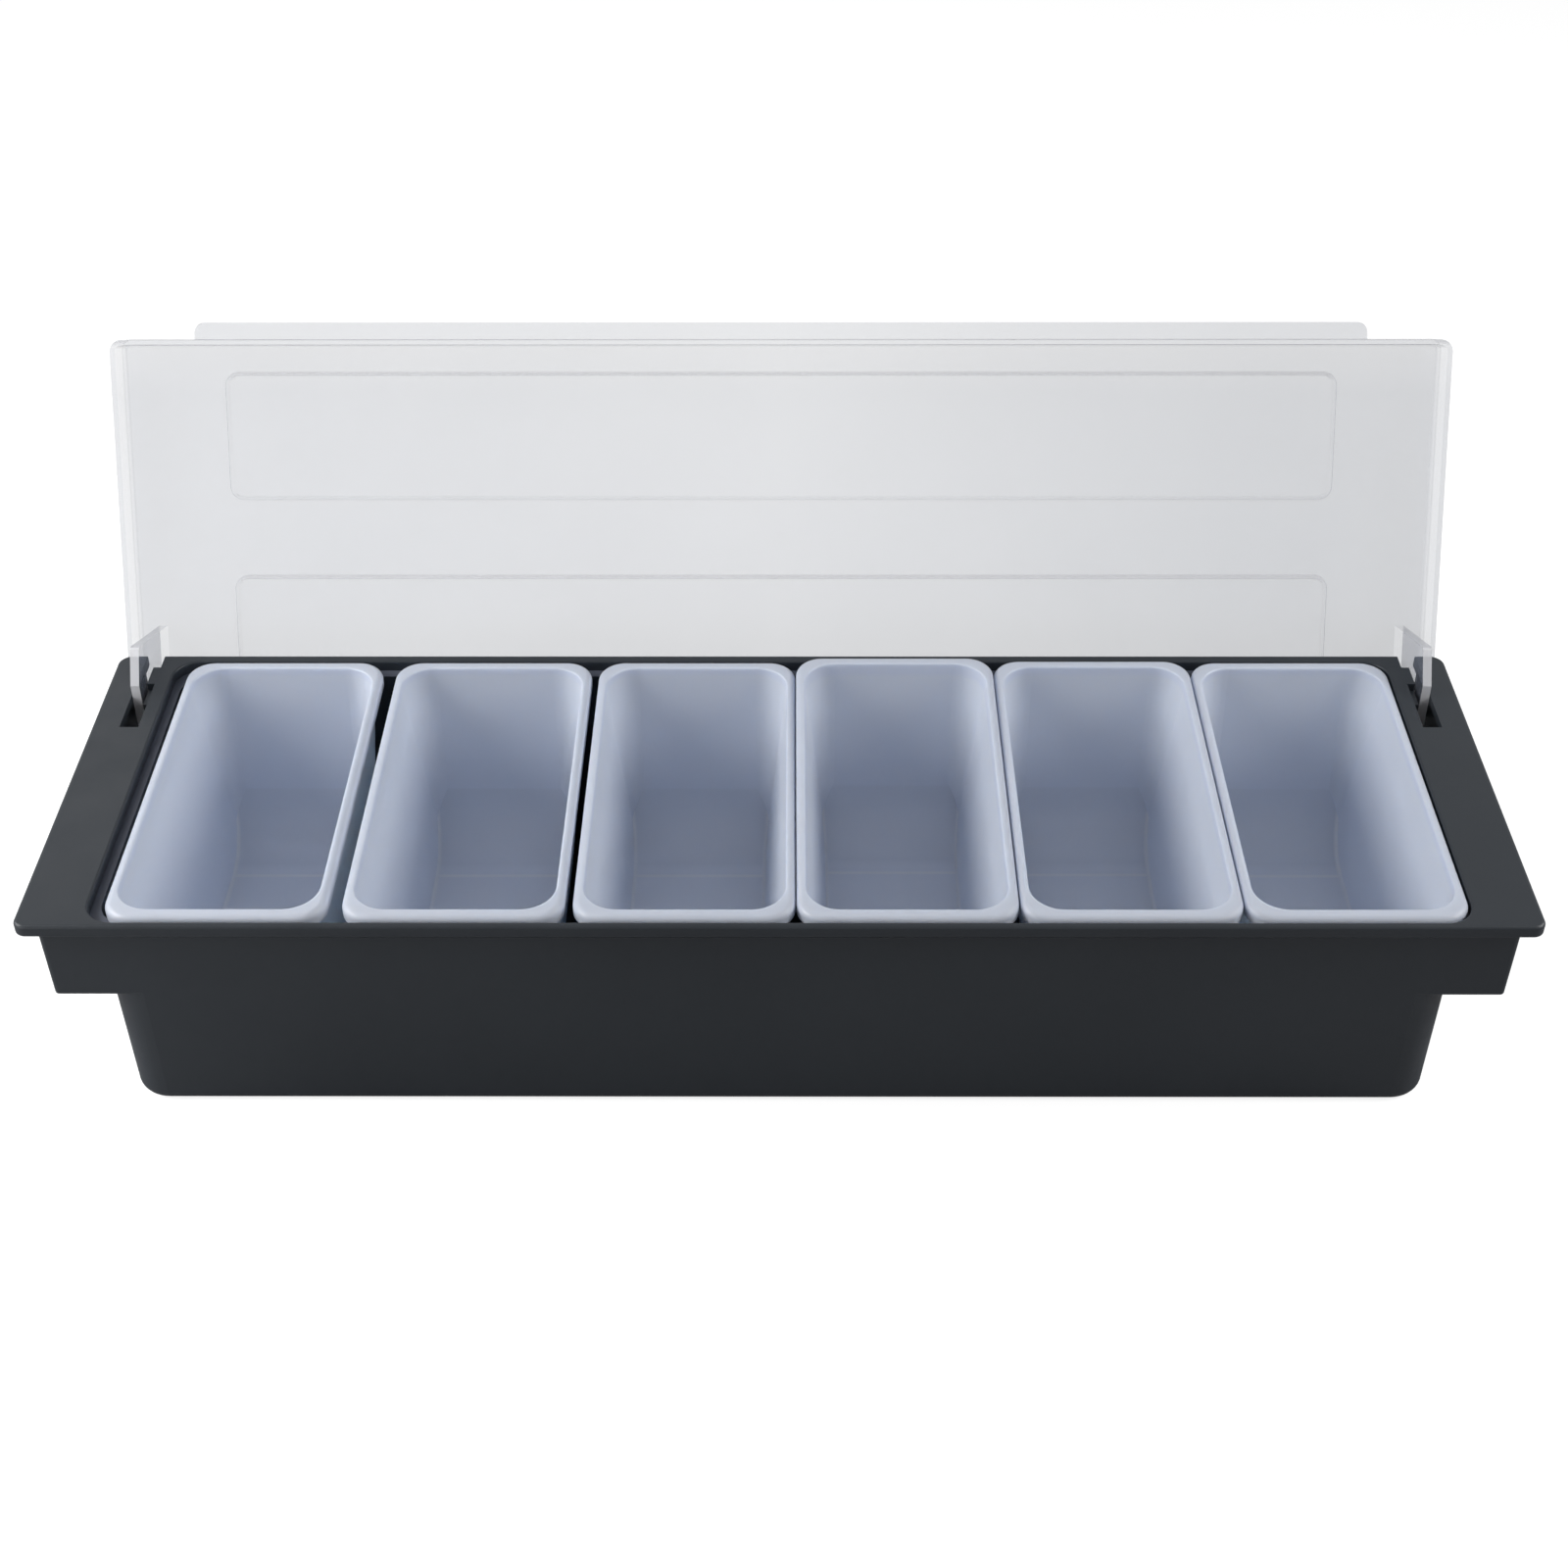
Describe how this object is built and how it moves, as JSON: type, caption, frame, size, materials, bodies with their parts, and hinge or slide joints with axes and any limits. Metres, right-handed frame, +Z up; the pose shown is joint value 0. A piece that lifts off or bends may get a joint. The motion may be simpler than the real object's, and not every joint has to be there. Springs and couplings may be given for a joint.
{
  "type": "bar garnish tray",
  "caption": "Countertop garnish tray: a dark tub with a stepped rim, lift-out translucent food inserts and a clear lid hinged at the rear, shown open.",
  "frame": {"origin": "centre of the tub's flat underside", "axes": "+X along the tray's length to the right as seen from the front, +Y from the front to the hinge side, +Z up"},
  "size_m": [0.4968, 0.2212, 0.1946],
  "materials": {
    "tray_plastic": "fine satin moulded",
    "insert_plastic": "translucent, smooth",
    "lid_plastic": "clear with a light frost",
    "pin_plastic": "matte"
  },
  "bodies": {
    "tray": {"base_tray": "tray_plastic", "hinge_pin_left": "pin_plastic", "hinge_pin_right": "pin_plastic"},
    "lid": {"lid": "lid_plastic"},
    "insert_1": {"insert_1": "insert_plastic"},
    "insert_2": {"insert_2": "insert_plastic"},
    "insert_3": {"insert_3": "insert_plastic"},
    "insert_4": {"insert_4": "insert_plastic"},
    "insert_5": {"insert_5": "insert_plastic"},
    "insert_6": {"insert_6": "insert_plastic"}
  },
  "joints": [
    {"name": "lid_hinge", "type": "hinge", "parent": "tray", "child": "lid", "pos_m": [0, 0.0603, 0.0728], "axis": [-1, 0, 0], "range_deg": [-116, 0]},
    {"name": "insert_1_lift", "type": "slide", "parent": "tray", "child": "insert_1", "axis": [0, 0, 1], "range_m": [0, 0.11]},
    {"name": "insert_2_lift", "type": "slide", "parent": "tray", "child": "insert_2", "axis": [0, 0, 1], "range_m": [0, 0.11]},
    {"name": "insert_3_lift", "type": "slide", "parent": "tray", "child": "insert_3", "axis": [0, 0, 1], "range_m": [0, 0.11]},
    {"name": "insert_4_lift", "type": "slide", "parent": "tray", "child": "insert_4", "axis": [0, 0, 1], "range_m": [0, 0.11]},
    {"name": "insert_5_lift", "type": "slide", "parent": "tray", "child": "insert_5", "axis": [0, 0, 1], "range_m": [0, 0.11]},
    {"name": "insert_6_lift", "type": "slide", "parent": "tray", "child": "insert_6", "axis": [0, 0, 1], "range_m": [0, 0.11]}
  ]
}
